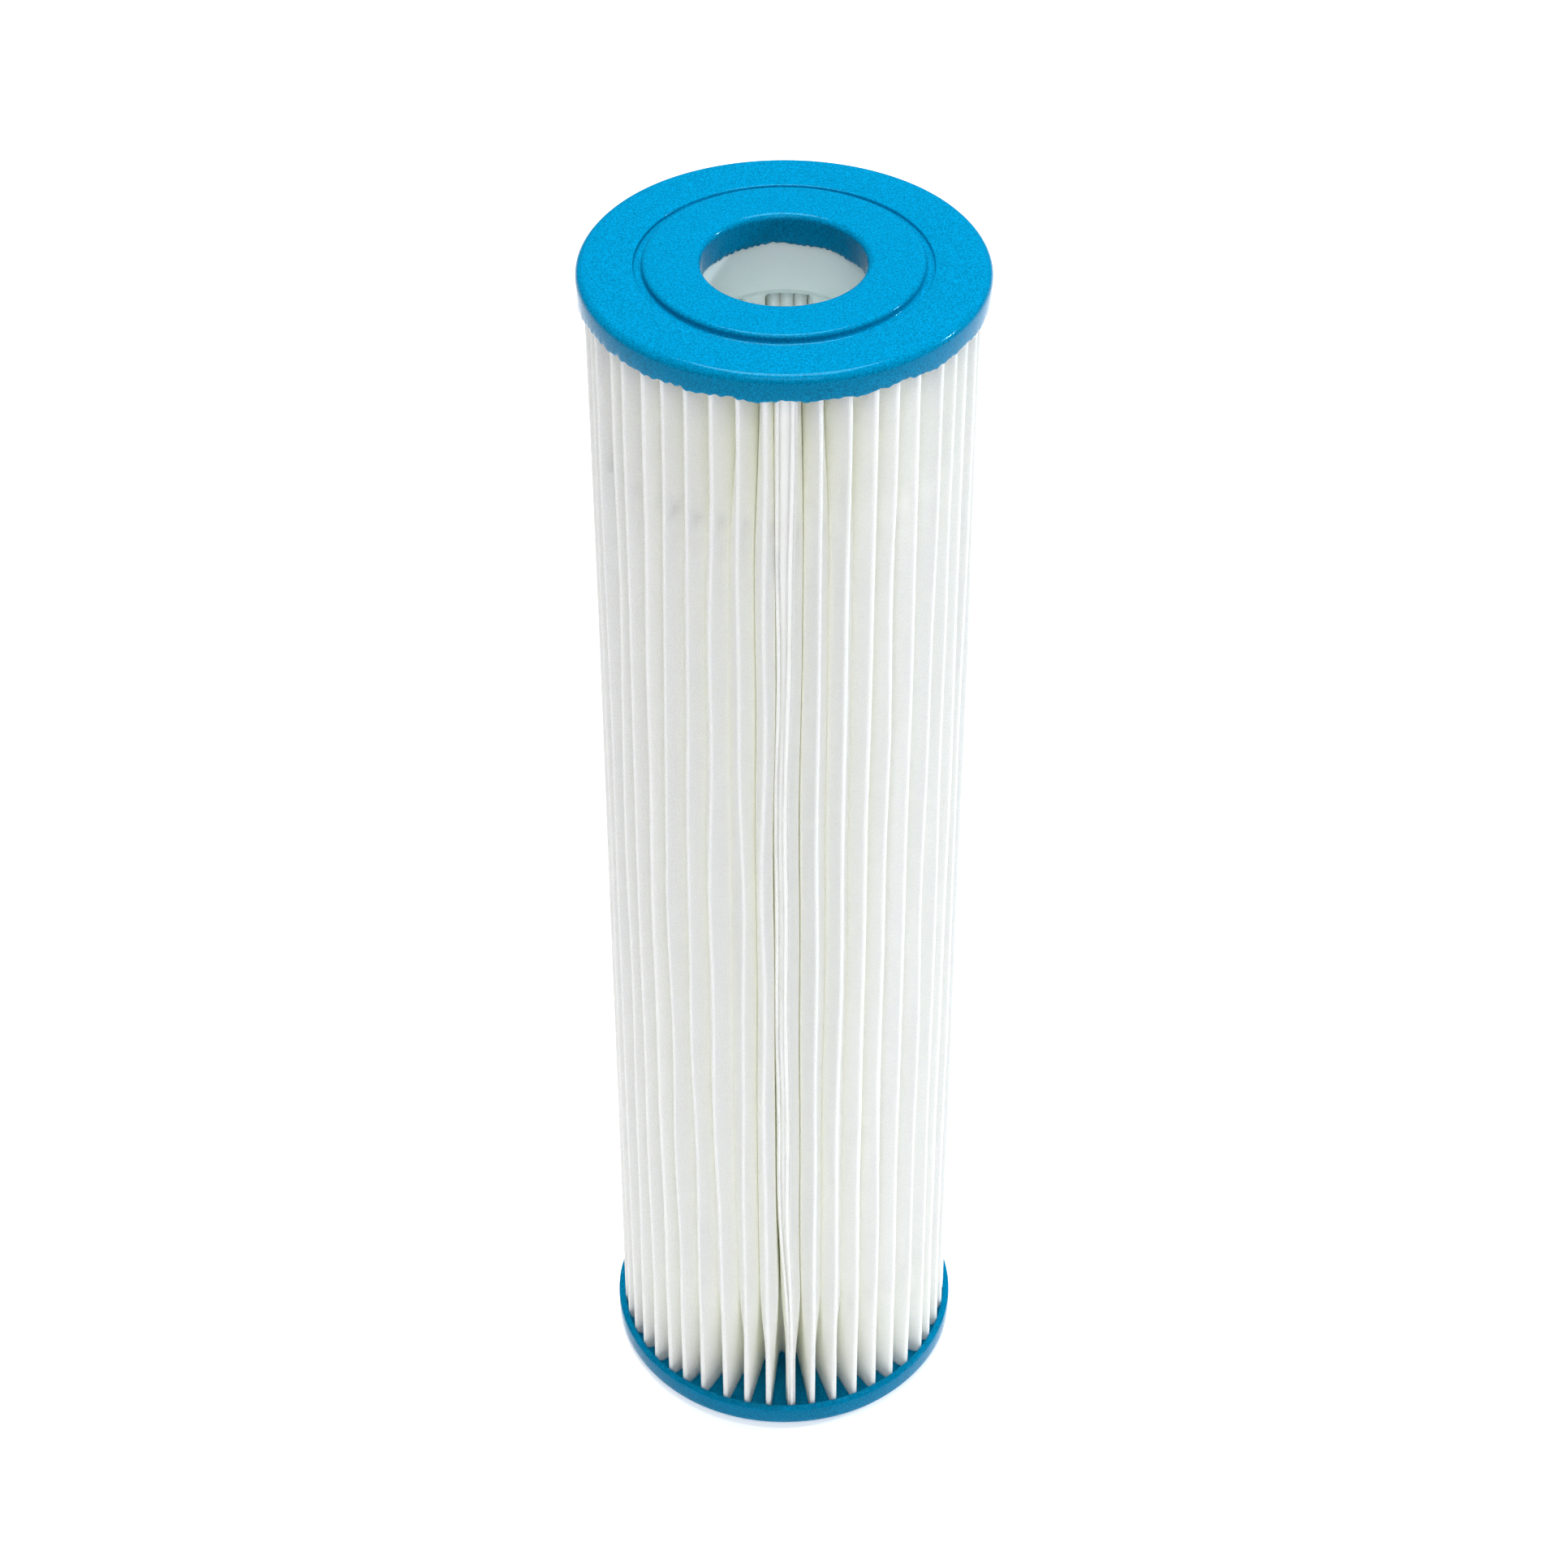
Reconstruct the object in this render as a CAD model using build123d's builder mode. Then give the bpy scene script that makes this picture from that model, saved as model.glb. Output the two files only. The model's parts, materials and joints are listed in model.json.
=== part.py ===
from build123d import *
import os
from math import cos, pi, radians, sin, sqrt

# A pleated cartridge with two open ends. A folded strip of filter cloth stands
# around a slotted core, its two cut edges are glued together along one pleat, and
# both ends of everything are potted in a soft vinyl cap with a raised sealing ring.
# Millimetres. The axis is Z, the lower sealing ring rests on Z = 0, and the glued
# pleat faces -Y.

# The whole cartridge
overall_height = 248.0  # over both sealing rings

# End caps
cap_radius = 33.65
cap_rim_fillet = 1.5
cap_lip_fillet = 0.35
skirt_height = 4.8  # from the flat of the cap to the free edge of its skirt
skirt_wall = 0.9
pocket_step = 0.8  # the vinyl between the pleats lies this much below the skirt's edge
ring_radius = 22.95
ring_rise = 0.7  # the sealing ring stands this far above the flat of the cap
ring_fillet = 0.8
groove_width = 1.35
groove_depth = 0.8
groove_fillet = 0.3
bore_radius = 13.5
bore_fillet = 0.85
bore_length = 5.6  # from the sealing ring to the end of the vinyl inside the core

# Core
core_outer_radius = 15.8
core_inner_radius = 14.0  # in the plain sleeve at each end
lattice_inner_radius = 14.5  # between the sleeves
lattice_step_run = 1.0  # over which the bore of a sleeve widens to the lattice
core_end_cover = 2.0  # vinyl over each end of the core
window_columns = 8
window_rows = 20
window_width = 8.0
window_height = 8.4
window_fillet = 0.9
window_turn = -3.3  # degrees from +Y to the middle of the nearest column
plain_sleeve = 15.5  # from the sealing ring to the first row of windows

# Pleated strip
pleat_count = 46
tip_radius = 32.5
root_radius = 16.1
cloth = 0.5
tip_bend = 0.4  # bend radius of the middle of the cloth at an outer fold
root_bend = 0.4  # and at an inner fold
cloth_end_cover = 2.2  # vinyl over each end of the strip
seam_turn = 2.3  # degrees from -Y to the glued pleat

# Glue line
glue_gap = 0.4  # between the two cut edges
glue_depth = 6.0  # from the cut edges inwards
flap_step = 0.9  # one cut edge ends this much further in than the other

flat_height = ring_rise
skirt_top = flat_height + skirt_height
pocket_top = skirt_top - pocket_step
pitch_angle = 360 / pleat_count
seam_angle = -90 + seam_turn
middle = Plane.XY.offset(overall_height / 2)
cloth_length = overall_height - 2 * cloth_end_cover
clear = 1.0  # how far a cutting tool runs past what it cuts


def on_circle(radius, angle):
    """The point at a radius and an angle in degrees."""
    return Vector(radius * cos(radians(angle)), radius * sin(radians(angle)))


def wall_ends(tip, tip_size, root, root_size, side):
    """Where a straight wall touches the round of an outer fold and of an inner fold.

    The two rounds lie on opposite sides of the wall. The side is +1 or -1 for the wall
    that leaves the pleat's tip to the left or to the right of the way to its root.
    """
    run = root - tip
    along = (tip_size + root_size) / run.length
    across = side * sqrt(1 - along**2)
    ahead = run.normalized()
    square = Vector(-ahead.Y, ahead.X)
    leave = ahead * along + square * across
    return tip + leave * tip_size, root - leave * root_size


def tip_centre(number):
    """The middle of an outer fold's bend; number 0 is the glued pleat."""
    return on_circle(tip_radius - tip_bend - cloth / 2, seam_angle + number * pitch_angle)


def root_centre(number):
    """The middle of the inner fold that follows pleat number."""
    return on_circle(
        root_radius + root_bend + cloth / 2, seam_angle + (number + 0.5) * pitch_angle
    )


def flap_end(side):
    """The middle of the cloth at a cut edge, beside the glued pleat's own middle line."""
    reach = tip_radius if side > 0 else tip_radius - flap_step
    outward = on_circle(1, seam_angle)
    square = Vector(-outward.Y, outward.X)
    return outward * reach + square * (side * (glue_gap + cloth) / 2)


def flap_wall(side, face):
    """The straight wall of a cut edge's flap, on the cloth's face +1 (out) or -1 (in)."""
    root = root_centre(0 if side > 0 else -1)
    return wall_ends(
        flap_end(side), face * cloth / 2, root, root_bend - face * cloth / 2, -side
    )


def strip_face(face):
    """Draws one face of the strip, from cut edge to cut edge, and returns its two ends."""
    tip_size = tip_bend + face * cloth / 2
    root_size = root_bend - face * cloth / 2
    first, reached = flap_wall(+1, face)
    Line(first, reached)
    for number in range(1, pleat_count):
        tip = tip_centre(number)
        before, after = root_centre(number - 1), root_centre(number)
        rise_tip, rise_root = wall_ends(tip, tip_size, before, root_size, +1)
        fall_tip, fall_root = wall_ends(tip, tip_size, after, root_size, -1)
        bend = before - before.normalized() * root_size
        ThreePointArc(reached, bend, rise_root)
        Line(rise_root, rise_tip)
        ThreePointArc(rise_tip, tip + tip.normalized() * tip_size, fall_tip)
        Line(fall_tip, fall_root)
        reached = fall_root
    last, arrive = flap_wall(-1, face)
    before = root_centre(-1)
    ThreePointArc(reached, before - before.normalized() * root_size, arrive)
    Line(arrive, last)
    return first, last


# Cross-section of the strip: out along its outer face and back along its inner face
with BuildSketch(Plane.XY.offset(cloth_end_cover)) as strip_section:
    with BuildLine():
        outer_ends = strip_face(+1)
        inner_ends = strip_face(-1)
        Line(outer_ends[0], inner_ends[0])
        Line(outer_ends[1], inner_ends[1])
    make_face()

# Cross-section of the glue between the inner faces of the two flaps
with BuildSketch(Plane.XY.offset(cloth_end_cover)) as glue_section:
    with BuildLine():
        left_tip, left_root = flap_wall(+1, -1)
        right_tip, right_root = flap_wall(-1, -1)
        left_end = left_tip + (left_root - left_tip).normalized() * glue_depth
        right_end = right_tip + (right_root - right_tip).normalized() * (glue_depth - flap_step)
        Polyline(left_tip, left_end, right_end, right_tip, close=True)
    make_face()

with BuildPart() as pleated_media:
    extrude(strip_section.sketch, amount=cloth_length)
pleated_media.part.label = "pleated_media"

with BuildPart() as seam_bead:
    extrude(glue_section.sketch, amount=cloth_length)
seam_bead.part.label = "seam_bead"

# Core: a tube with rows of windows between two plain sleeves with thicker walls
window_zone = overall_height - 2 * plain_sleeve
row_pitch = (window_zone - window_height) / (window_rows - 1)
core_low, core_high = core_end_cover, overall_height - core_end_cover
step_low, step_high = plain_sleeve, overall_height - plain_sleeve
with BuildPart() as core_tube:
    with BuildSketch(Plane.XZ):
        with BuildLine():
            Polyline(
                (core_outer_radius, core_low),
                (core_outer_radius, core_high),
                (core_inner_radius, core_high),
                (core_inner_radius, step_high + lattice_step_run),
                (lattice_inner_radius, step_high),
                (lattice_inner_radius, step_low),
                (core_inner_radius, step_low - lattice_step_run),
                (core_inner_radius, core_low),
                close=True,
            )
        make_face()
    revolve(axis=Axis.Z)
    for column in range(window_columns // 2):
        angle = 90 + window_turn + column * 360 / window_columns
        outward = on_circle(1, angle)
        across_core = Plane(
            origin=middle.origin, x_dir=(-outward.Y, outward.X, 0), z_dir=outward
        )
        with BuildSketch(across_core):
            with GridLocations(window_width, row_pitch, 1, window_rows):
                RectangleRounded(window_width, window_height, window_fillet)
        extrude(amount=core_outer_radius + clear, both=True, mode=Mode.SUBTRACT)
core_tube.part.label = "core_tube"

# End cap: half a section turned about the axis, cast around the ends of the others
groove_bottom = flat_height + groove_depth
groove_outer = ring_radius + groove_width
skirt_inner = cap_radius - skirt_wall
cap_outline = [
    ((bore_radius, 0), bore_fillet),
    ((ring_radius, 0), ring_fillet),
    ((ring_radius, groove_bottom), groove_fillet),
    ((groove_outer, groove_bottom), groove_fillet),
    ((groove_outer, flat_height), groove_fillet),
    ((cap_radius, flat_height), cap_rim_fillet),
    ((cap_radius, skirt_top), cap_lip_fillet),
    ((skirt_inner, skirt_top), cap_lip_fillet),
    ((skirt_inner, pocket_top), 0),
    ((core_outer_radius, pocket_top), 0),
    ((core_outer_radius, core_end_cover), 0),
    ((core_inner_radius, core_end_cover), 0),
    ((core_inner_radius, bore_length), 0),
    ((bore_radius, bore_length), 0),
]
with BuildPart() as bottom_end_cap:
    with BuildSketch(Plane.XZ):
        with BuildLine():
            FilletPolyline(
                [point for point, bend in cap_outline],
                radius=[bend for point, bend in cap_outline],
                close=True,
            )
        make_face()
    revolve(axis=Axis.Z)
    extrude(strip_section.sketch, amount=skirt_height + clear, mode=Mode.SUBTRACT)
    extrude(glue_section.sketch, amount=skirt_height + clear, mode=Mode.SUBTRACT)
bottom_end_cap.part.label = "bottom_end_cap"

with BuildPart() as top_end_cap:
    mirror(bottom_end_cap.part, about=middle)
top_end_cap.part.label = "top_end_cap"

os.makedirs("parts", exist_ok=True)
for piece in (top_end_cap, bottom_end_cap, pleated_media, seam_bead, core_tube):
    export_step(piece.part, f"parts/{piece.part.label}.step")

wall_run = (tip_centre(1) - root_centre(1)).length
bend_run = pi * (tip_bend + root_bend)
strip_width = 2 * pleat_count * wall_run + pleat_count * bend_run
print(f"cloth: about {strip_width:.0f} mm long and {cloth_length:.0f} mm wide")
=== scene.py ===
import json
from math import pi, radians

import bpy
import numpy as np
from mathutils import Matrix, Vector


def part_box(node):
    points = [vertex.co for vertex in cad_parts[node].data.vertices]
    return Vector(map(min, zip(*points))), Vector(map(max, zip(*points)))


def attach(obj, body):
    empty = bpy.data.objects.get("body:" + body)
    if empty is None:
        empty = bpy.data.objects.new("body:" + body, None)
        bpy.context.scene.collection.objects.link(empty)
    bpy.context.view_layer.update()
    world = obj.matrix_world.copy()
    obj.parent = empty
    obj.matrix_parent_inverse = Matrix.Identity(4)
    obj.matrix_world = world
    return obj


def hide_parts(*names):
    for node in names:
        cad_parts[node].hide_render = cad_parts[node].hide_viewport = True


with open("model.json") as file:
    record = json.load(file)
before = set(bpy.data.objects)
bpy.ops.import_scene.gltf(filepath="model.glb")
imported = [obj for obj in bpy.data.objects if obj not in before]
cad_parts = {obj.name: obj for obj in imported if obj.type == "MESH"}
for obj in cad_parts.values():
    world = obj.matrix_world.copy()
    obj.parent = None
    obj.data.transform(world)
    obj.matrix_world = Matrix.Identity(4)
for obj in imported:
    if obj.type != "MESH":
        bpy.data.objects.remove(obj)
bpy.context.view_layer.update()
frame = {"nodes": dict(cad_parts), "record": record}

# A pleated filter cartridge: two cast vinyl end caps, a folded strip of filter cloth whose
# cut edges are glued along one pleat, and a slotted core. The shapes are worked out in
# millimetres, and put_mesh() writes them in metres. Materials and lights are in metres.
# Angles are in degrees, and the ones called turn are in radians.

MM = 0.001


def cad_size(node):
    """A CAD node's lowest and highest corner, in millimetres."""
    low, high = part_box(node)
    return np.array(low) / MM, np.array(high) / MM


cap_high = cad_size("bottom_end_cap")[1]
top_high = cad_size("top_end_cap")[1]
core_low, core_high = cad_size("core_tube")
cloth_low, cloth_high = cad_size("pleated_media")
bore = next(m for m in frame["record"]["mounts"] if m["name"] == "top_bore")

HEIGHT = top_high[2]
CAP_RADIUS = cap_high[0]
CORE_RADIUS = core_high[0]
CORE_WALL = 1.8
CORE_END = core_low[2]
BORE_RADIUS = bore["dims"]["r_mm"]
BORE_END = cap_high[2]
CLOTH_END = cloth_low[2]
TIP_RADIUS = cloth_high[0]

# End caps. A depth is measured from the face of the sealing ring.
FLAT = 0.7  # depth of the flat of the cap
SKIRT = 4.8  # height of the skirt over the flat
RIM_FILLET = 1.5
LIP = 0.5  # rounding of the skirt's free edge
LIP_ARC = 120
RIM_LEDGE = 0.2  # level stretch inside that rounding
SKIRT_ROW = 3.3  # depth of the row of mesh halfway down the skirt
RING_RADIUS = 22.95
RING_FILLET = 0.75
RING_ROWS = (17.0, 20.0)  # radii of the rows of mesh across the ring
GROOVE_OUTER = 24.3
GROOVE_DEPTH = 1.45
GROOVE_FILLET = 0.3
FLAT_ROWS = (27.5, 30.5)  # and across the flat
BORE_FILLET = 1.1
BORE_ROW = 2.6  # depth of the row of mesh halfway down the bore
RAGGED_SIDE = -130.0  # the side where the skirts have sagged most
DRIP = 264.2  # a drop that hangs from the upper skirt
DRIP_WIDTH = 1.3
DRIP_LENGTH = 0.5
SAG_LEAST = 0.3  # sag opposite the ragged side, as a share of the sag on it
HUMP = 0.8  # how far the skirt's edge sags between two pleats, for a sag of 1
EDGE_LIFT = 0.35  # how far that edge starts short of its even height
EDGE_FINE_WAVE = 0.11
EDGE_SLOW_WAVE = 0.16
BORE_SHORT = 0.1  # how far the vinyl in the bore ends short of its even end
BORE_WAVE = 0.13
BORE_FINE_WAVE = 0.07
WOBBLE = 0.03  # of the outer wall
WOBBLE_RUN = 3.0
COLUMNS = 20  # columns of mesh round the cap, for each pleat

# The open side of a cap, where the vinyl has crept up whatever stands in it
POCKET = 2.6  # the vinyl between two pleats lies this much below the skirt's edge
POCKET_RADII = np.concatenate([
    np.arange(32.85, 31.2, -0.2),
    np.arange(30.9, 26, -0.6),
    np.arange(25.5, 18, -1.1),
    [17.2, 16.7, 16.3],
])
RIM_RUN = 0.5  # over which the rim falls into a pocket
CREEP, CREEP_RUN = 0.5, 0.35  # how far up the cloth, and over what distance from it
TIP_CREEP, TIP_CREEP_RUN = 1.8, 0.45  # more of it at the tip of a pleat
TIP_CREEP_DEPTH = 0.8  # fading out this far inside the tips
CORE_CREEP, CORE_CREEP_RUN = 0.4, 0.3
CORE_CLEAR = 0.02  # between the core and the slot that holds its end

# Cloth
PLEATS = 46
PITCH = 360 / PLEATS
SEAM = -90 + 2.3  # the direction of the glued pleat
CLOTH = 0.5
TIP_TURNS = (0, pi / 4, pi / 2, 3 * pi / 4, pi)
TIP_BEND = 0.27  # bend radius of the middle of the cloth at an outer fold in a cap
TIP_CREASE = 0.1  # and between the caps
TIP_CREASE_SPREAD = 0.1
TIP_INSET = 0.12  # from the tips' radius to an outer fold in a cap
TIP_SHORT = 0.2  # between the caps some pleats fall short by up to this much more
TIP_WAVE = 0.08
CREASE_ROOM = 0.9  # the part of a crease's radius that its inner side may fill
ROOT_TURNS = (0, pi / 2, pi)
ROOT_BEND = 0.85
ROOT_RADIUS = CORE_RADIUS + 0.3
GRIP_LOW = 5.0  # the pleats are straight this far up from the lower ring
GRIP_HIGH = 3.0  # and this far down from the upper one
PINCH_LOW = 32.0  # over which a pleat opens out of the lower cap
PINCH_HIGH = 5.0  # and of the upper one
WALL_SHARES = (0.26, 0.42, 0.7, 0.9)  # where a wall has points, from its tip to its root
BELLY_DEPTH = 2.9  # between the caps two pleats touch this far inside their tips
BELLY_SPREAD = 0.4
BELLY_TOP = 5.0  # and this much deeper just under the upper cap
BELLY_START = 5.0  # distance from the upper ring where that extra depth is greatest
BELLY_SETTLE = 35.0  # over which it is lost
BELLY_END = ROOT_RADIUS + 2.6  # they touch down to this radius
BELLY_GAP = 0.02  # least gap between the cloth of two pleats, from their middle line
BELLY_GAP_SPREAD = 0.05
FILL_LEAST = 0.8  # the least that a pleat swells, as a share of the way to its neighbour
LEAN_SPREAD = 0.6
LEAN_WAVE = 0.26
LEAN_RUN = 45.0  # over which that wave grows, from each end
MITRE_LEAST = 0.6  # limits how far a sharp fold's corner reaches
CLOTH_ROWS = 30  # rows of mesh between the rows near the caps

# A few pleats in front stand aside, in degrees, by number from the glued pleat
FRONT_PLEATS = range(-8, 8)
LEAN_TOP = {-8: 2.0, -6: 1.0, 2: 1.0, 3: 1.0, 6: 1.5}
LEAN_TOP_OTHERS = 0.2
LEAN_HALFWAY = {-7: -1.0, -6: -1.5, -5: -2.5, -4: -2.0, -3: -2.5, -1: -1.0, 0: -2.0, 4: -1.0}
LEAN_BOTTOM = {-5: -1.0, -4: -1.0, 0: 0.5, 7: 1.0}

# The seam: two flaps with glue between them. An inset is measured from the tips' radius.
SEAM_HALF = 0.42  # from the middle of the glue to the middle of the right flap
RIGHT_FLAP = (0.35, 1.0)  # insets of its cut edge and of its next point
# points of the left flap: inset, share of the flap's gap, and bulge past it
LEFT_FLAP = ((3.6, 0.95, 0.3), (2.0, 1.0, 0.05), (0.75, 1.0, 0.0))
FLAP_CLOSED = 0.5  # the left flap's cut edge off the seam, at the lower cap
FLAP_OPEN = 2.4  # and at the upper cap
FLAP_HALFWAY = 0.55  # how much of its opening the flap has in the middle
BESIDE_FLAP = 1.6  # the pleat beside the left flap touches it this much less deep
GLUE_ROWS = 46
GLUE_HEAD = 0.4  # radius of the rounded bead along the seam
GLUE_HEAD_WAVE = 0.03
GLUE_HEAD_INSET = 0.4
GLUE_FILL_INSET = 0.85  # of the glue between the bead and the left flap
GLUE_FILL_WAVE = 0.12
GLUE_DEPTH = 5.5

# Materials
NOISE_SPAN = (0.3, 0.7)  # nearly all of a noise's values lie in it
FINE_GRAIN = 3600  # features per metre


def new_material(name):
    """A node material with only a Principled shader, and that shader."""
    material = bpy.data.materials.new(name)
    material.use_nodes = True
    tree = material.node_tree
    tree.nodes.clear()
    out = tree.nodes.new("ShaderNodeOutputMaterial")
    shader = tree.nodes.new("ShaderNodeBsdfPrincipled")
    tree.links.new(shader.outputs["BSDF"], out.inputs["Surface"])
    return material, tree, shader


def noise_node(tree, scale, detail, stretch=(1, 1, 1), rough=0.5):
    """Noise over the object's own coordinates; scale is in features per metre."""
    where = tree.nodes.new("ShaderNodeTexCoord")
    spread = tree.nodes.new("ShaderNodeMapping")
    spread.inputs["Scale"].default_value = stretch
    noise = tree.nodes.new("ShaderNodeTexNoise")
    noise.inputs["Scale"].default_value = scale
    noise.inputs["Detail"].default_value = detail
    noise.inputs["Roughness"].default_value = rough
    tree.links.new(where.outputs["Object"], spread.inputs["Vector"])
    tree.links.new(spread.outputs["Vector"], noise.inputs["Vector"])
    return noise.outputs["Fac"]


def ramp_node(tree, noise, low_colour, high_colour, span=NOISE_SPAN):
    """A colour from one to another, as the noise goes over its span."""
    ramp = tree.nodes.new("ShaderNodeValToRGB")
    elements = ramp.color_ramp.elements
    elements[0].position, elements[0].color = span[0], (*low_colour, 1)
    elements[1].position, elements[1].color = span[1], (*high_colour, 1)
    tree.links.new(noise, ramp.inputs["Fac"])
    return ramp.outputs["Color"]


def range_node(tree, noise, low, high):
    """A value from low to high, as the noise goes over its span."""
    node = tree.nodes.new("ShaderNodeMapRange")
    node.inputs["From Min"].default_value = NOISE_SPAN[0]
    node.inputs["From Max"].default_value = NOISE_SPAN[1]
    node.inputs["To Min"].default_value = low
    node.inputs["To Max"].default_value = high
    tree.links.new(noise, node.inputs["Value"])
    return node.outputs["Result"]


def bump_node(tree, height, strength, distance, after=None):
    """A bump from a height, on top of another bump."""
    node = tree.nodes.new("ShaderNodeBump")
    node.inputs["Strength"].default_value = strength
    node.inputs["Distance"].default_value = distance
    tree.links.new(height, node.inputs["Height"])
    if after is not None:
        tree.links.new(after, node.inputs["Normal"])
    return node.outputs["Normal"]


def let_light_in(shader, radius, scale):
    """Light goes into the surface and comes out beside it."""
    shader.inputs["Subsurface Weight"].default_value = 1.0
    shader.inputs["Subsurface Radius"].default_value = radius
    shader.inputs["Subsurface Scale"].default_value = scale


def vinyl():
    """Soft blue plastisol, cast in an open mould: a fine cast grain."""
    material, tree, shader = new_material("vinyl")
    grain = noise_node(tree, FINE_GRAIN, 1)
    colour = ramp_node(tree, grain, (0.0, 0.130, 0.26), (0.0, 0.242, 0.48))
    tree.links.new(colour, shader.inputs["Base Color"])
    slow = noise_node(tree, 260, 2)
    tree.links.new(range_node(tree, slow, 0.09, 0.13), shader.inputs["Roughness"])
    normal = bump_node(tree, slow, 0.04, 0.0004)
    normal = bump_node(tree, grain, 0.03, 0.0001, normal)
    tree.links.new(normal, shader.inputs["Normal"])
    shader.inputs["Specular IOR Level"].default_value = 0.1
    shader.inputs["Specular Tint"].default_value = (0.25, 0.8, 1.0, 1)
    return material


def filter_cloth():
    """White spunbond polyester: short fibres pressed flat, uneven in the sheet."""
    material, tree, shader = new_material("filter_cloth")
    speck = noise_node(tree, FINE_GRAIN, 1)
    colour = ramp_node(
        tree, speck, (0.922, 0.926, 0.872), (0.996, 0.998, 0.955), span=(0.35, 0.65)
    )
    tree.links.new(colour, shader.inputs["Base Color"])
    cloud = noise_node(tree, 420, 5, (1, 1, 0.55), 0.6)
    fibre = noise_node(tree, 2600, 3, (1, 1, 0.3))
    normal = bump_node(tree, cloud, 0.12, 0.0004)
    normal = bump_node(tree, fibre, 0.25, 0.0002, normal)
    tree.links.new(normal, shader.inputs["Normal"])
    tree.links.new(range_node(tree, fibre, 0.78, 0.95), shader.inputs["Roughness"])
    shader.inputs["Specular IOR Level"].default_value = 0.2
    let_light_in(shader, (1.0, 1.0, 0.9), 0.0012)
    return material


def core_plastic():
    """Natural polypropylene: milky, a little glossy, faint flow lines along the tube."""
    material, tree, shader = new_material("core_plastic")
    flow = noise_node(tree, 300, 3, (1, 1, 0.05))
    colour = ramp_node(tree, flow, (0.87, 0.97, 0.99), (0.91, 0.99, 1.0))
    tree.links.new(colour, shader.inputs["Base Color"])
    fine = noise_node(tree, 1500, 2)
    tree.links.new(bump_node(tree, fine, 0.08, 0.0002), shader.inputs["Normal"])
    tree.links.new(range_node(tree, fine, 0.38, 0.5), shader.inputs["Roughness"])
    let_light_in(shader, (1.0, 1.0, 1.0), 0.0015)
    return material


def seam_glue():
    """Hot-melt glue: bright, wet-looking, drawn out along the seam."""
    material, tree, shader = new_material("seam_glue")
    drawn = noise_node(tree, 500, 3, (1, 1, 0.15))
    colour = ramp_node(tree, drawn, (0.97, 0.98, 0.98), (0.99, 1.0, 1.0))
    tree.links.new(colour, shader.inputs["Base Color"])
    tree.links.new(bump_node(tree, drawn, 0.08, 0.0002), shader.inputs["Normal"])
    tree.links.new(range_node(tree, drawn, 0.22, 0.35), shader.inputs["Roughness"])
    let_light_in(shader, (1.0, 1.0, 1.0), 0.0012)
    return material


def floor_paint():
    """Plain matt white, with the slightest unevenness and a faint glow."""
    material, tree, shader = new_material("floor_paint")
    cloud = noise_node(tree, 3, 2)
    colour = ramp_node(tree, cloud, (0.85, 0.85, 0.85), (0.87, 0.87, 0.87))
    tree.links.new(colour, shader.inputs["Base Color"])
    shader.inputs["Roughness"].default_value = 0.9
    shader.inputs["Specular IOR Level"].default_value = 0.1
    shader.inputs["Emission Color"].default_value = (1.0, 1.0, 1.0, 1)
    shader.inputs["Emission Strength"].default_value = 0.5
    return material


# Shapes


def put_mesh(name, points, faces, material):
    """A new smooth object from points in millimetres."""
    mesh = bpy.data.meshes.new(name)
    mesh.from_pydata((np.asarray(points) * MM).tolist(), [], faces)
    mesh.validate()
    mesh.polygons.foreach_set("use_smooth", [True] * len(mesh.polygons))
    mesh.materials.append(material)
    mesh.update()
    piece = bpy.data.objects.new(name, mesh)
    bpy.context.scene.collection.objects.link(piece)
    return piece


def ring_faces(rows, columns, close_rows=False, flip=False):
    """Quads over rings of points, numbered ring by ring."""
    row = np.arange(rows if close_rows else rows - 1)
    left = np.arange(columns)
    here, there = row * columns, (row + 1) % rows * columns
    right = (left + 1) % columns
    a = here[:, None] + left[None]
    b = here[:, None] + right[None]
    c = there[:, None] + right[None]
    d = there[:, None] + left[None]
    quads = np.stack([a, b, c, d], axis=-1).reshape(-1, 4)
    return (quads[:, ::-1] if flip else quads).tolist()


def raise_rings(rings, height):
    """Points in space from rings in the plane, an array (heights, points, 2)."""
    level = np.broadcast_to(height[:, None, None], (*rings.shape[:2], 1))
    return np.concatenate([rings, level], axis=-1).reshape(-1, 3)


def wander(seed, low, high, terms):
    """A smooth wandering function of x, of unit size: a sum of waves between two rates.

    The rates are whole numbers, so that the function closes up where x goes from 0 to 1.
    """
    random = np.random.default_rng(seed)
    rate = random.integers(low, high + 1, terms)
    phase = random.uniform(0, 2 * pi, terms)
    size = random.uniform(0.5, 1.0, terms)
    size /= np.sqrt((size**2).sum() / 2)

    def value(x):
        x = np.asarray(x, float)[..., None]
        return (size * np.sin(2 * pi * rate * x + phase)).sum(-1)

    return value


def wander_up(seed, low, high, terms, height, part):
    """A wandering value for each pleat at each height, over part of the function."""
    share = height / HEIGHT * part
    return np.stack([wander(seed + k, low, high, terms)(share) for k in range(PLEATS)], axis=1)


def polar(radius, angle):
    """Points in the plane from a radius and an angle."""
    turn = np.radians(angle)
    return np.stack([radius * np.cos(turn), radius * np.sin(turn)], axis=-1)


def directions(angle):
    """Outward from the axis at an angle, and a quarter turn on from there."""
    outward = polar(1.0, angle)
    return outward, np.stack([-outward[..., 1], outward[..., 0]], axis=-1)


def ease(x):
    """From 0 to 1 as x goes from 0 to 1, level at both ends."""
    x = np.clip(x, 0, 1)
    return x * x * (3 - 2 * x)


# Cloth


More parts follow.
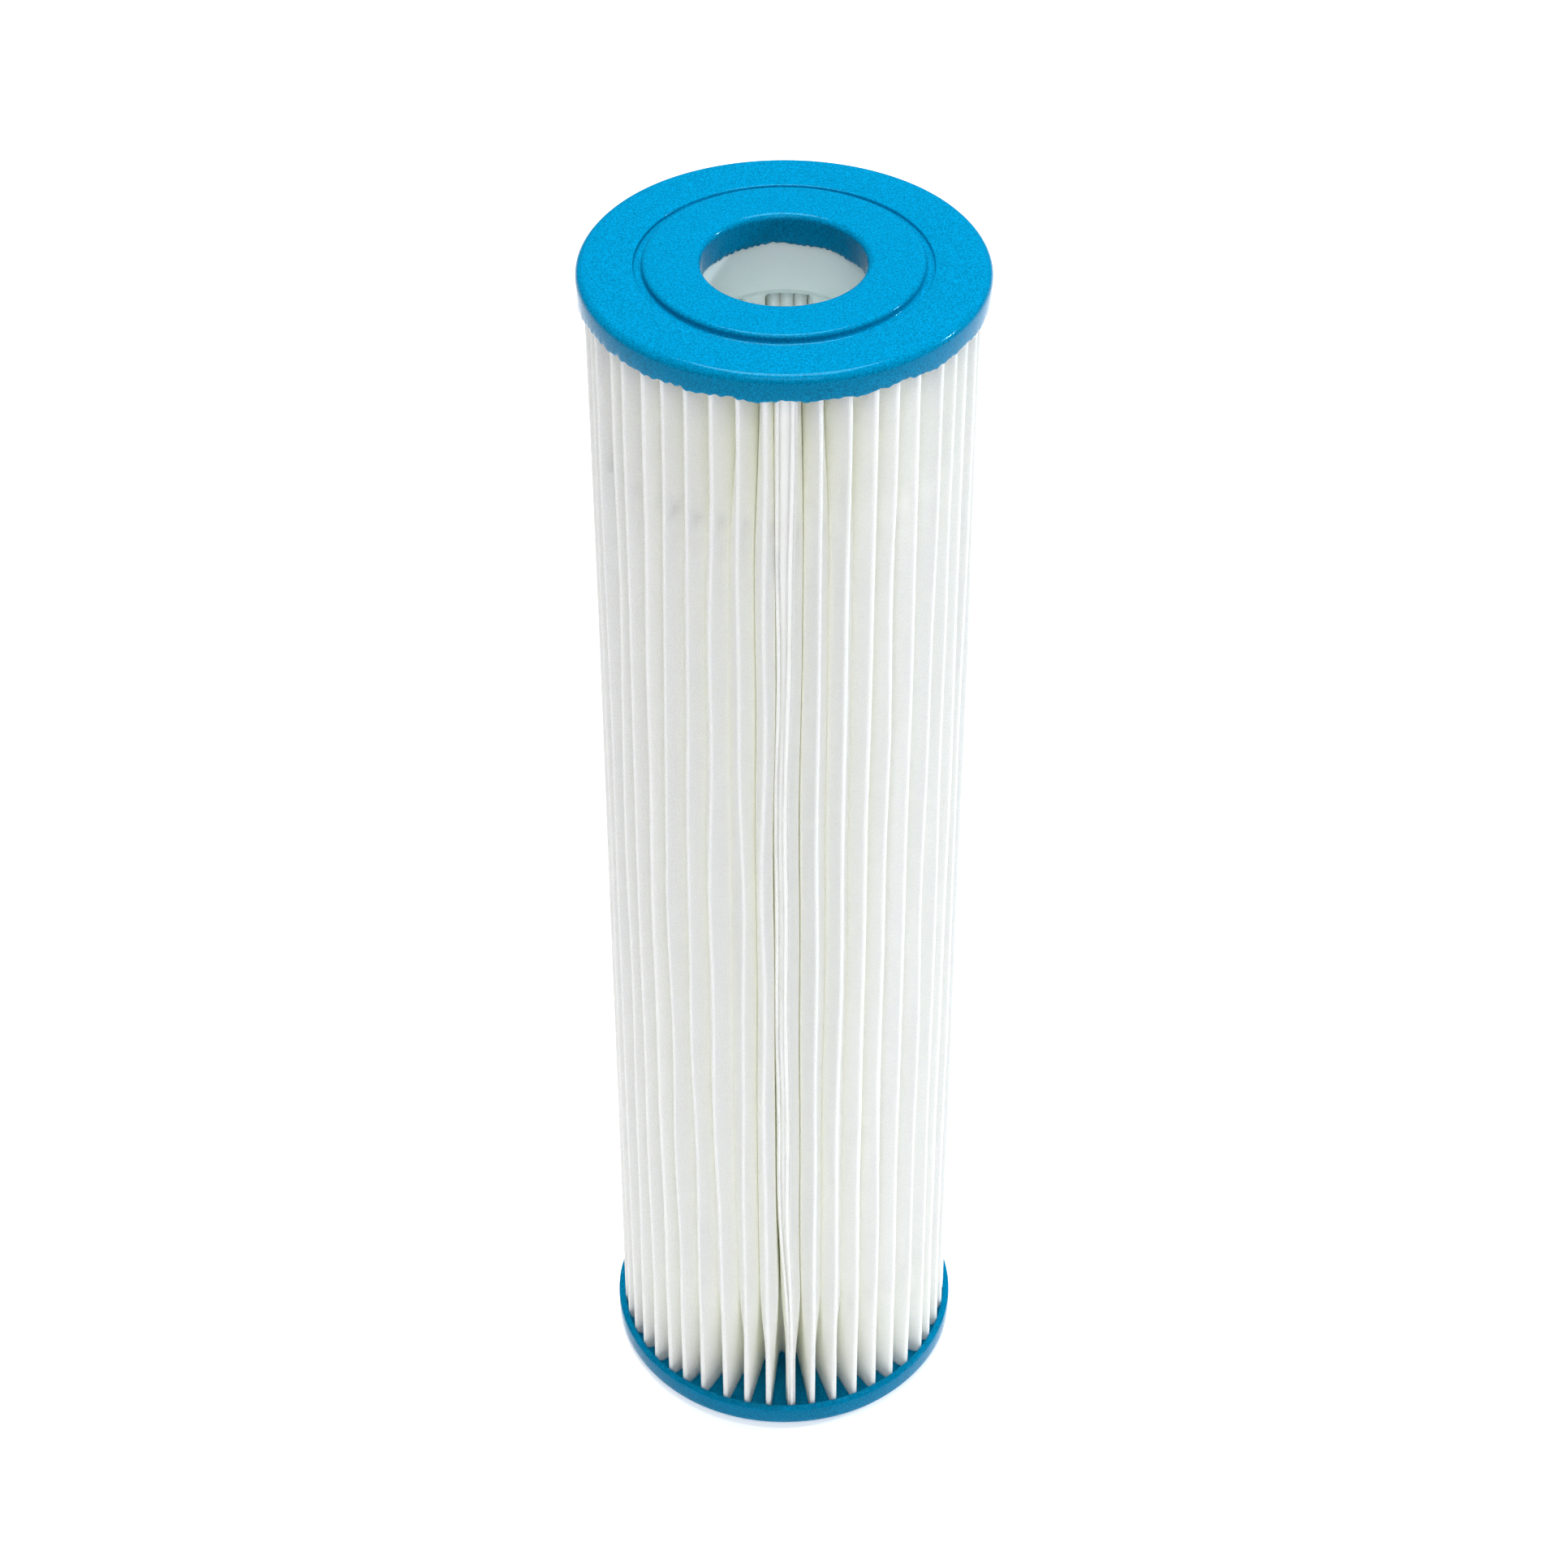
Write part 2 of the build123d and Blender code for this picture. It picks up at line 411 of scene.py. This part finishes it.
def pleat_lean(height):
    """Each tip's angle at each height, as an array (heights, PLEATS)."""
    random = np.random.default_rng(5)
    top, middle, bottom = random.normal(0, LEAN_SPREAD, (3, PLEATS))
    for number in FRONT_PLEATS:
        top[number] = LEAN_TOP.get(number, LEAN_TOP_OTHERS)
        middle[number] = LEAN_HALFWAY.get(number, 0.0)
        bottom[number] = LEAN_BOTTOM.get(number, 0.0)
    up = (height / HEIGHT)[:, None]
    lean = bottom + (middle - bottom) * ease(up * 2) + (top - middle) * ease(up * 2 - 1)
    even = SEAM + np.arange(PLEATS) * PITCH
    wave = wander_up(100, 2, 7, 8, height, 0.7)
    free = ease(np.minimum(height, HEIGHT - height) / LEAN_RUN)[:, None]
    return even + lean + LEAN_WAVE * wave * free


def open_out(height):
    """0 where the pleats are gripped by a cap, 1 in the middle of the cartridge."""
    below = ease((height - GRIP_LOW) / PINCH_LOW)
    return below * ease((HEIGHT - height - GRIP_HIGH) / PINCH_HIGH)


def flap_gap(height):
    """How far the left flap's cut edge stands off the middle of the seam.

    The flap is closed at the lower cap. It opens in two steps on the way up.
    """
    up = height / HEIGHT
    first, second = ease((up - 0.05) / 0.25), ease((up - 0.7) / 0.25)
    opening = first * (FLAP_HALFWAY + (1 - FLAP_HALFWAY) * second)
    return FLAP_CLOSED + (FLAP_OPEN - FLAP_CLOSED) * opening


class Pleats:
    """The folds of the cloth at some heights. Its points are arrays (heights, 2).

    Pleat 0 is the glued one, and root k is the inner fold between pleats k and k + 1. A
    turn goes round a fold from the wall before it to the wall after it.
    """

    def __init__(self, height):
        tips = pleat_lean(height)
        roots = (tips + np.roll(tips, -1, axis=1)) / 2
        roots[:, -1] = (tips[:, -1] + tips[:, 0] + 360) / 2
        free = open_out(height)[:, None]
        under_cap = 1 - ease((HEIGHT - height - BELLY_START) / BELLY_SETTLE)[:, None]
        wave = wander_up(300, 1, 4, 5, height, 0.6)

        random = np.random.default_rng(11)
        short = random.uniform(0, TIP_SHORT, PLEATS)
        crease = TIP_CREASE + random.uniform(0, TIP_CREASE_SPREAD, PLEATS)
        self.fill = free * random.uniform(FILL_LEAST, 1.0, PLEATS)
        self.gap = CLOTH / 2 + BELLY_GAP + random.uniform(0, BELLY_GAP_SPREAD, PLEATS)
        touch = TIP_RADIUS - BELLY_DEPTH + random.uniform(-BELLY_SPREAD, BELLY_SPREAD, PLEATS)
        self.belly = touch - BELLY_TOP * under_cap
        self.bend = TIP_BEND + free * (crease - TIP_BEND)

        self.outward, self.across = directions(tips)
        self.root_out, self.root_across = directions(roots)
        reach = TIP_RADIUS - TIP_INSET + free * (TIP_WAVE * wave - short)
        self.tip_middle = self.outward * (reach - self.bend - CLOTH / 2)[..., None]
        self.root_middle = self.root_out * (ROOT_RADIUS + ROOT_BEND + CLOTH / 2)

    def tip_point(self, turn, k):
        offset = self.across[:, k] * -np.cos(turn) + self.outward[:, k] * np.sin(turn)
        return self.tip_middle[:, k] + offset * self.bend[:, k, None]

    def root_point(self, turn, k):
        offset = self.root_across[:, k] * -np.cos(turn) - self.root_out[:, k] * np.sin(turn)
        return self.root_middle[:, k] + offset * ROOT_BEND

    def root(self, k):
        return [self.root_point(turn, k) for turn in ROOT_TURNS]

    def wall(self, k, side):
        """Points from pleat k's tip to the root after it (side 1) or before it (-1).

        In a cap the wall is straight. Between the caps it swells until it all but
        touches the wall of the next pleat, and is straight from there to the tip.
        """
        root = k if side > 0 else k - 1
        tip = self.tip_point(pi if side > 0 else 0, k)
        foot = self.root_point(0 if side > 0 else pi, root)
        touch = self.belly[:, k]
        if k == PLEATS - 1 and side > 0:
            touch = touch + BESIDE_FLAP
        beside = self.root_across[:, root] * (-side * self.gap[k])
        first, last = WALL_SHARES[0], WALL_SHARES[-1]
        points = []
        for share in WALL_SHARES:
            straight = tip + (foot - tip) * share
            deep = touch + (BELLY_END - touch) * (share - first) / (last - first)
            full = self.root_out[:, root] * deep[:, None] + beside
            points.append(straight + (full - straight) * self.fill[:, k, None])
        return points

    def beside_seam(self, inset, sideways):
        """A point this far inside the tips' radius and this far to the right of the seam."""
        sideways = np.reshape(sideways, (-1, 1))
        return self.outward[:, 0] * (TIP_RADIUS - inset) + self.across[:, 0] * sideways


def cloth_line(height):
    """The middle of the cloth at each height, from cut edge to cut edge.

    Returns points in the plane, as an array (heights, points along the strip, 2), and
    how much of the cloth's thickness there is room for on the inner side of each point.
    """
    pleats = Pleats(height)
    half = np.full(len(height), CLOTH / 2)
    line, room = [], []

    def follow(points, space=half):
        line.extend(points)
        room.extend([space] * len(points))

    # the right-hand flap, from its cut edge down to the first root
    follow([pleats.beside_seam(inset, SEAM_HALF) for inset in RIGHT_FLAP])
    follow(pleats.wall(0, 1))
    for k in range(1, PLEATS):
        follow(pleats.root(k - 1))
        follow(pleats.wall(k, -1)[::-1])
        tight = np.minimum(CLOTH / 2, CREASE_ROOM * pleats.bend[:, k])
        follow([pleats.tip_point(turn, k) for turn in TIP_TURNS], tight)
        follow(pleats.wall(k, 1))
    follow(pleats.root(PLEATS - 1))
    # the left-hand flap, which stands off the seam with the glue between them
    flap = flap_gap(height)
    follow(pleats.wall(0, -1)[:0:-1])
    follow([pleats.beside_seam(inset, -share * flap - bulge) for inset, share, bulge in LEFT_FLAP])
    return np.stack(line, axis=1), np.stack(room, axis=1)


def thicken(line, room):
    """The two faces of a sheet from its middle line, moved square to the line."""
    ahead = np.diff(line, axis=1)
    ahead /= np.linalg.norm(ahead, axis=-1, keepdims=True)
    square = np.stack([-ahead[..., 1], ahead[..., 0]], axis=-1)
    before = np.concatenate([square[:, :1], square], axis=1)
    after = np.concatenate([square, square[:, -1:]], axis=1)
    middle = before + after
    middle /= np.linalg.norm(middle, axis=-1, keepdims=True)
    stretch = 1 / np.maximum((middle * before).sum(-1, keepdims=True), MITRE_LEAST)
    offset = middle * stretch
    return line - offset * CLOTH / 2, line + offset * room[..., None]


def cloth_heights(rows_between):
    """Heights of the rows of cloth: close together where the pleats are pinched."""
    in_cap = [0.0, 2.2, 3.3]
    low = CLOTH_END + np.concatenate([in_cap, np.linspace(4.5, 26, 15)])
    middle = np.linspace(low[-1], HEIGHT - low[-1], rows_between + 2)[1:-1]
    return np.concatenate([low, middle, (HEIGHT - low)[::-1]])


def pleated_cloth(material):
    """The strip as one closed shell with the cloth's thickness, and the strip's length."""
    height = cloth_heights(CLOTH_ROWS)
    line, room = cloth_line(height)
    outer, inner = thicken(line, room)
    rings = np.concatenate([outer, inner[:, ::-1]], axis=1)
    rows, columns = rings.shape[:2]
    faces = ring_faces(rows, columns)
    for start, flip in ((0, True), ((rows - 1) * columns, False)):
        for i in range(columns // 2 - 1):
            quad = [start + i, start + i + 1, start + columns - 2 - i, start + columns - 1 - i]
            faces.append(quad[::-1] if flip else quad)
    length = np.linalg.norm(np.diff(line, axis=1), axis=-1).sum(1).mean()
    return put_mesh("cloth_pleats", raise_rings(rings, height), faces, material), length


def seam_bead(material):
    """Glue that fills the gap between the flaps, with a rounded head along the seam."""
    height = cloth_heights(GLUE_ROWS)
    share = height / HEIGHT * 0.9
    outward, across = directions(pleat_lean(height)[:, 0])
    right = SEAM_HALF - CLOTH / 2
    left = flap_gap(height) - CLOTH / 2
    head = GLUE_HEAD + GLUE_HEAD_WAVE * wander(71, 4, 18, 10)(share)
    head_middle = TIP_RADIUS - GLUE_HEAD_INSET
    fill = TIP_RADIUS - GLUE_FILL_INSET + GLUE_FILL_WAVE * wander(72, 4, 14, 8)(share)
    deep = TIP_RADIUS - GLUE_DEPTH

    def place(radius, sideways):
        return outward * np.reshape(radius, (-1, 1)) + across * np.reshape(sideways, (-1, 1))

    rings = [
        place(deep, right),
        place(deep, 0.1 - 0.8 * left),
        place(fill - 0.25, -left),
        place(fill, 0.1 - 0.7 * left),
    ]
    for turn in np.radians(np.linspace(-130, 130, 9)):
        rings.append(place(head_middle + head * np.cos(turn), head * np.sin(turn)))
    rings = np.stack(rings, axis=1)
    rows, columns = rings.shape[:2]
    faces = ring_faces(rows, columns)
    faces.append(list(range(columns))[::-1])
    faces.append([(rows - 1) * columns + i for i in range(columns)])
    return put_mesh("glue_bead", raise_rings(rings, height), faces, material)


# Caps


def round_corner(centre, size, start, end, count):
    """Points (radius, depth) along a rounded corner, between two angles."""
    turn = np.radians(np.linspace(start, end, count))
    return [(centre[0] + size * np.cos(t), centre[1] + size * np.sin(t)) for t in turn]


def nearest_cloth(points, line):
    """Distance in the plane from each point to the nearest stretch of a line."""
    best = np.full(len(points), np.inf)
    for start, end in zip(line[:-1], line[1:]):
        run = end - start
        share = np.clip(((points - start) @ run) / (run @ run), 0, 1)
        gap = points - start - share[:, None] * run
        best = np.minimum(best, (gap**2).sum(1))
    return np.sqrt(best)


def skirt_edge(angle, tips, sag, seed):
    """How much longer the skirt is than its even height, at each angle.

    The vinyl has sagged between the tips of the pleats, each stretch by its own amount.
    """
    random = np.random.default_rng(seed)
    place = np.sort(tips % 360)
    place = np.concatenate([[place[-1] - 360], place, [place[0] + 360]])
    pleat = np.clip(np.searchsorted(place, angle, side="right") - 1, 0, PLEATS)
    share = (angle - place[pleat]) / (place[pleat + 1] - place[pleat])
    depth = random.uniform(0.2, 1.0, PLEATS + 1)
    lopsided = random.uniform(0.6, 1.7, PLEATS + 1)
    hump = np.sin(pi * share ** lopsided[pleat]) ** 0.7
    facing = (1 + np.cos(np.radians(angle - RAGGED_SIDE))) / 2
    side = SAG_LEAST + (1 - SAG_LEAST) * facing
    fine = wander(seed, 40, 150, 60)(angle / 360)
    slow = wander(seed + 1, 6, 24, 20)(angle / 360)
    sagging = HUMP * depth[pleat] * hump - EDGE_LIFT
    return sag * side * (sagging + EDGE_FINE_WAVE * fine + EDGE_SLOW_WAVE * slow)


def bore_rows(edge):
    """The bore, from the ragged end of the vinyl inside the core up to its mouth."""
    return [
        (CORE_RADIUS - CORE_WALL + 0.05, edge + 0.3),
        (BORE_RADIUS + 0.38, edge + 0.12),
        (BORE_RADIUS + 0.18, edge - 0.1),
        (BORE_RADIUS + 0.05, edge - 0.38),
        (BORE_RADIUS, edge - 0.8),
        (BORE_RADIUS, BORE_ROW),
    ]


def face_rows():
    """The outer face, from the mouth of the bore over ring, groove and flat to the rim."""
    rows = round_corner(
        (BORE_RADIUS + BORE_FILLET, BORE_FILLET), BORE_FILLET, 180, 270, 7
    )
    rows += [(radius, 0.0) for radius in RING_ROWS]
    rows += round_corner((RING_RADIUS - RING_FILLET, RING_FILLET), RING_FILLET, -90, 0, 7)
    rows += [
        (RING_RADIUS + 0.02, GROOVE_DEPTH - 0.25),
        (RING_RADIUS + 0.2, GROOVE_DEPTH - 0.05),
        ((RING_RADIUS + GROOVE_OUTER) / 2, GROOVE_DEPTH),
        (GROOVE_OUTER - 0.2, GROOVE_DEPTH - 0.05),
        (GROOVE_OUTER, GROOVE_DEPTH - 0.25),
    ]
    rows += round_corner(
        (GROOVE_OUTER + GROOVE_FILLET, FLAT + GROOVE_FILLET), GROOVE_FILLET, 180, 270, 4
    )
    rows += [(radius, FLAT) for radius in FLAT_ROWS]
    rows += round_corner(
        (CAP_RADIUS - RIM_FILLET, FLAT + RIM_FILLET), RIM_FILLET, -90, 0, 9
    )
    return rows


def skirt_rows(crest):
    """The skirt, and its rounded free edge."""
    rows = [(CAP_RADIUS, SKIRT_ROW)]
    for turn in np.radians(np.linspace(0, LIP_ARC, 6)):
        rows.append((
            CAP_RADIUS - LIP + LIP * np.cos(turn),
            crest - LIP + LIP * np.sin(turn),
        ))
    return rows


def pocket_rows(crest, angle, line):
    """The open side: a rim that falls into a pocket between each two pleats."""
    rows = []
    for radius in [*POCKET_RADII, CORE_RADIUS + CORE_CLEAR]:
        away = np.maximum(nearest_cloth(polar(radius, angle), line) - CLOTH / 2, 0)
        from_rim = max(CAP_RADIUS - 2 * LIP - RIM_LEDGE - radius, 0)
        rim = POCKET * np.exp(-((from_rim / RIM_RUN) ** 1.5))
        near_tips = np.exp(-max(TIP_RADIUS - radius, 0) / TIP_CREEP_DEPTH)
        wall = CREEP * np.exp(-away / CREEP_RUN)
        wall = wall + TIP_CREEP * np.exp(-away / TIP_CREEP_RUN) * near_tips
        core = CORE_CREEP * np.exp(-(radius - CORE_RADIUS) / CORE_CREEP_RUN)
        climb = (rim**4 + wall**4 + core**4) ** 0.25
        rows.append((radius, crest - POCKET + np.minimum(climb, POCKET)))
    return rows


def core_slot_rows():
    """The slot that holds the end of the core."""
    inner = CORE_RADIUS - CORE_WALL - CORE_CLEAR
    return [(CORE_RADIUS + CORE_CLEAR, CORE_END), (inner, CORE_END)]


def end_cap(name, material, upper, sag, seed):
    """A cast cap, as rings of points that go once round its section."""
    columns = PLEATS * COLUMNS
    angle = np.arange(columns) * 360 / columns
    share = angle / 360
    mouth = np.array([HEIGHT - BORE_END if upper else BORE_END])

    # ragged free edges, and the wobble of a soft casting
    crest = FLAT + SKIRT + skirt_edge(angle, pleat_lean(mouth)[0], sag, seed)
    if upper:
        crest = crest + DRIP_LENGTH * np.exp(-(((angle - DRIP) / DRIP_WIDTH) ** 2))
    bore_edge = BORE_END - BORE_SHORT + BORE_WAVE * wander(seed + 2, 3, 14, 12)(share)
    bore_edge += BORE_FINE_WAVE * wander(seed + 4, 24, 90, 30)(share)
    wobble = WOBBLE * wander(seed + 3, 2, 9, 10)(share)

    rows = bore_rows(bore_edge) + face_rows() + skirt_rows(crest)
    rows += pocket_rows(crest, angle, cloth_line(mouth)[0][0]) + core_slot_rows()
    radius = np.stack([np.broadcast_to(r, columns) for r, d in rows])
    depth = np.stack([np.broadcast_to(d, columns) for r, d in rows])
    outside = ease((radius - RING_RADIUS) / WOBBLE_RUN)
    outside = outside * ease((FLAT + SKIRT - depth) / WOBBLE_RUN)
    radius = radius + wobble * outside
    z = HEIGHT - depth if upper else depth
    points = np.concatenate([polar(radius, angle), z[..., None]], axis=-1).reshape(-1, 3)
    faces = ring_faces(len(rows), columns, close_rows=True, flip=upper)
    return put_mesh(name, points, faces, material)


# Pieces

vinyl_material = vinyl()
cloth_material = filter_cloth()
core_material = core_plastic()
glue_material = seam_glue()

top_cap = end_cap("upper_cap", vinyl_material, upper=True, sag=1.1, seed=40)
bottom_cap = end_cap("lower_cap", vinyl_material, upper=False, sag=0.3, seed=50)
cloth, strip_length = pleated_cloth(cloth_material)
glue = seam_bead(glue_material)

for piece, node, slot in (
    (top_cap, "top_end_cap", "cap_vinyl"),
    (bottom_cap, "bottom_end_cap", "cap_vinyl"),
    (cloth, "pleated_media", "filter_cloth"),
    (glue, "seam_bead", "seam_glue"),
):
    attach(piece, "root")
    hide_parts(node)

core = frame["nodes"]["core_tube"]
for place in core.material_slots:
    place.material = core_material

# Studio

MIDDLE = Vector((0, 0, HEIGHT / 2 * MM))


def area_light(name, azimuth, elevation, distance, size, power, colour):
    """A square soft box that faces the middle. Azimuth is from -Y towards +X."""
    light = bpy.data.lights.new(name, "AREA")
    light.shape = "RECTANGLE"
    light.size = light.size_y = size
    light.energy = power
    light.color = colour
    lamp = bpy.data.objects.new(name, light)
    flat = np.cos(radians(elevation))
    way = Vector((
        np.sin(radians(azimuth)) * flat, -np.cos(radians(azimuth)) * flat,
        np.sin(radians(elevation)),
    ))
    lamp.location = MIDDLE + way * distance
    lamp.rotation_euler = way.to_track_quat("Z", "Y").to_euler()
    bpy.context.scene.collection.objects.link(lamp)


area_light("key", 97, 27, distance=1.1, size=0.09, power=5.2, colour=(0.78, 0.94, 1.0))
area_light("front", 0, 52, distance=1.5, size=0.8, power=8.2, colour=(1.0, 1.0, 0.98))
area_light("above", 180, 80, distance=1.5, size=0.8, power=32, colour=(1.0, 1.0, 1.0))

world = bpy.data.worlds.new("studio")
world.use_nodes = True
background = world.node_tree.nodes["Background"]
background.inputs["Color"].default_value = (0.93, 0.97, 1.0, 1)
background.inputs["Strength"].default_value = 0.05
bpy.context.scene.world = world
bpy.context.scene.view_settings.view_transform = "Standard"
# light in the folds of white cloth is scattered many times before it comes out
bpy.context.scene.cycles.max_bounces = 24
bpy.context.scene.cycles.diffuse_bounces = 24

FLOOR = 3000.0  # from the middle of the floor to its sides
floor = put_mesh(
    "floor",
    [(x, y, 0.0) for y in (-FLOOR, FLOOR) for x in (-FLOOR, FLOOR)],
    [[0, 1, 3, 2]],
    floor_paint(),
)

# Camera: a long lens, looking down on the standing cartridge from in front
CAMERA_BACK = 490.9
CAMERA_UP = 547.8
CAMERA_DOWN = 39.85  # below level
camera_data = bpy.data.cameras.new("camera")
camera_data.lens = 81.35
camera_data.sensor_width = 36
camera_data.clip_start = 0.01
camera = bpy.data.objects.new("camera", camera_data)
camera.location = (0, -CAMERA_BACK * MM, CAMERA_UP * MM)
camera.rotation_euler = (radians(90 - CAMERA_DOWN), 0, 0)
bpy.context.scene.collection.objects.link(camera)
bpy.context.scene.camera = camera
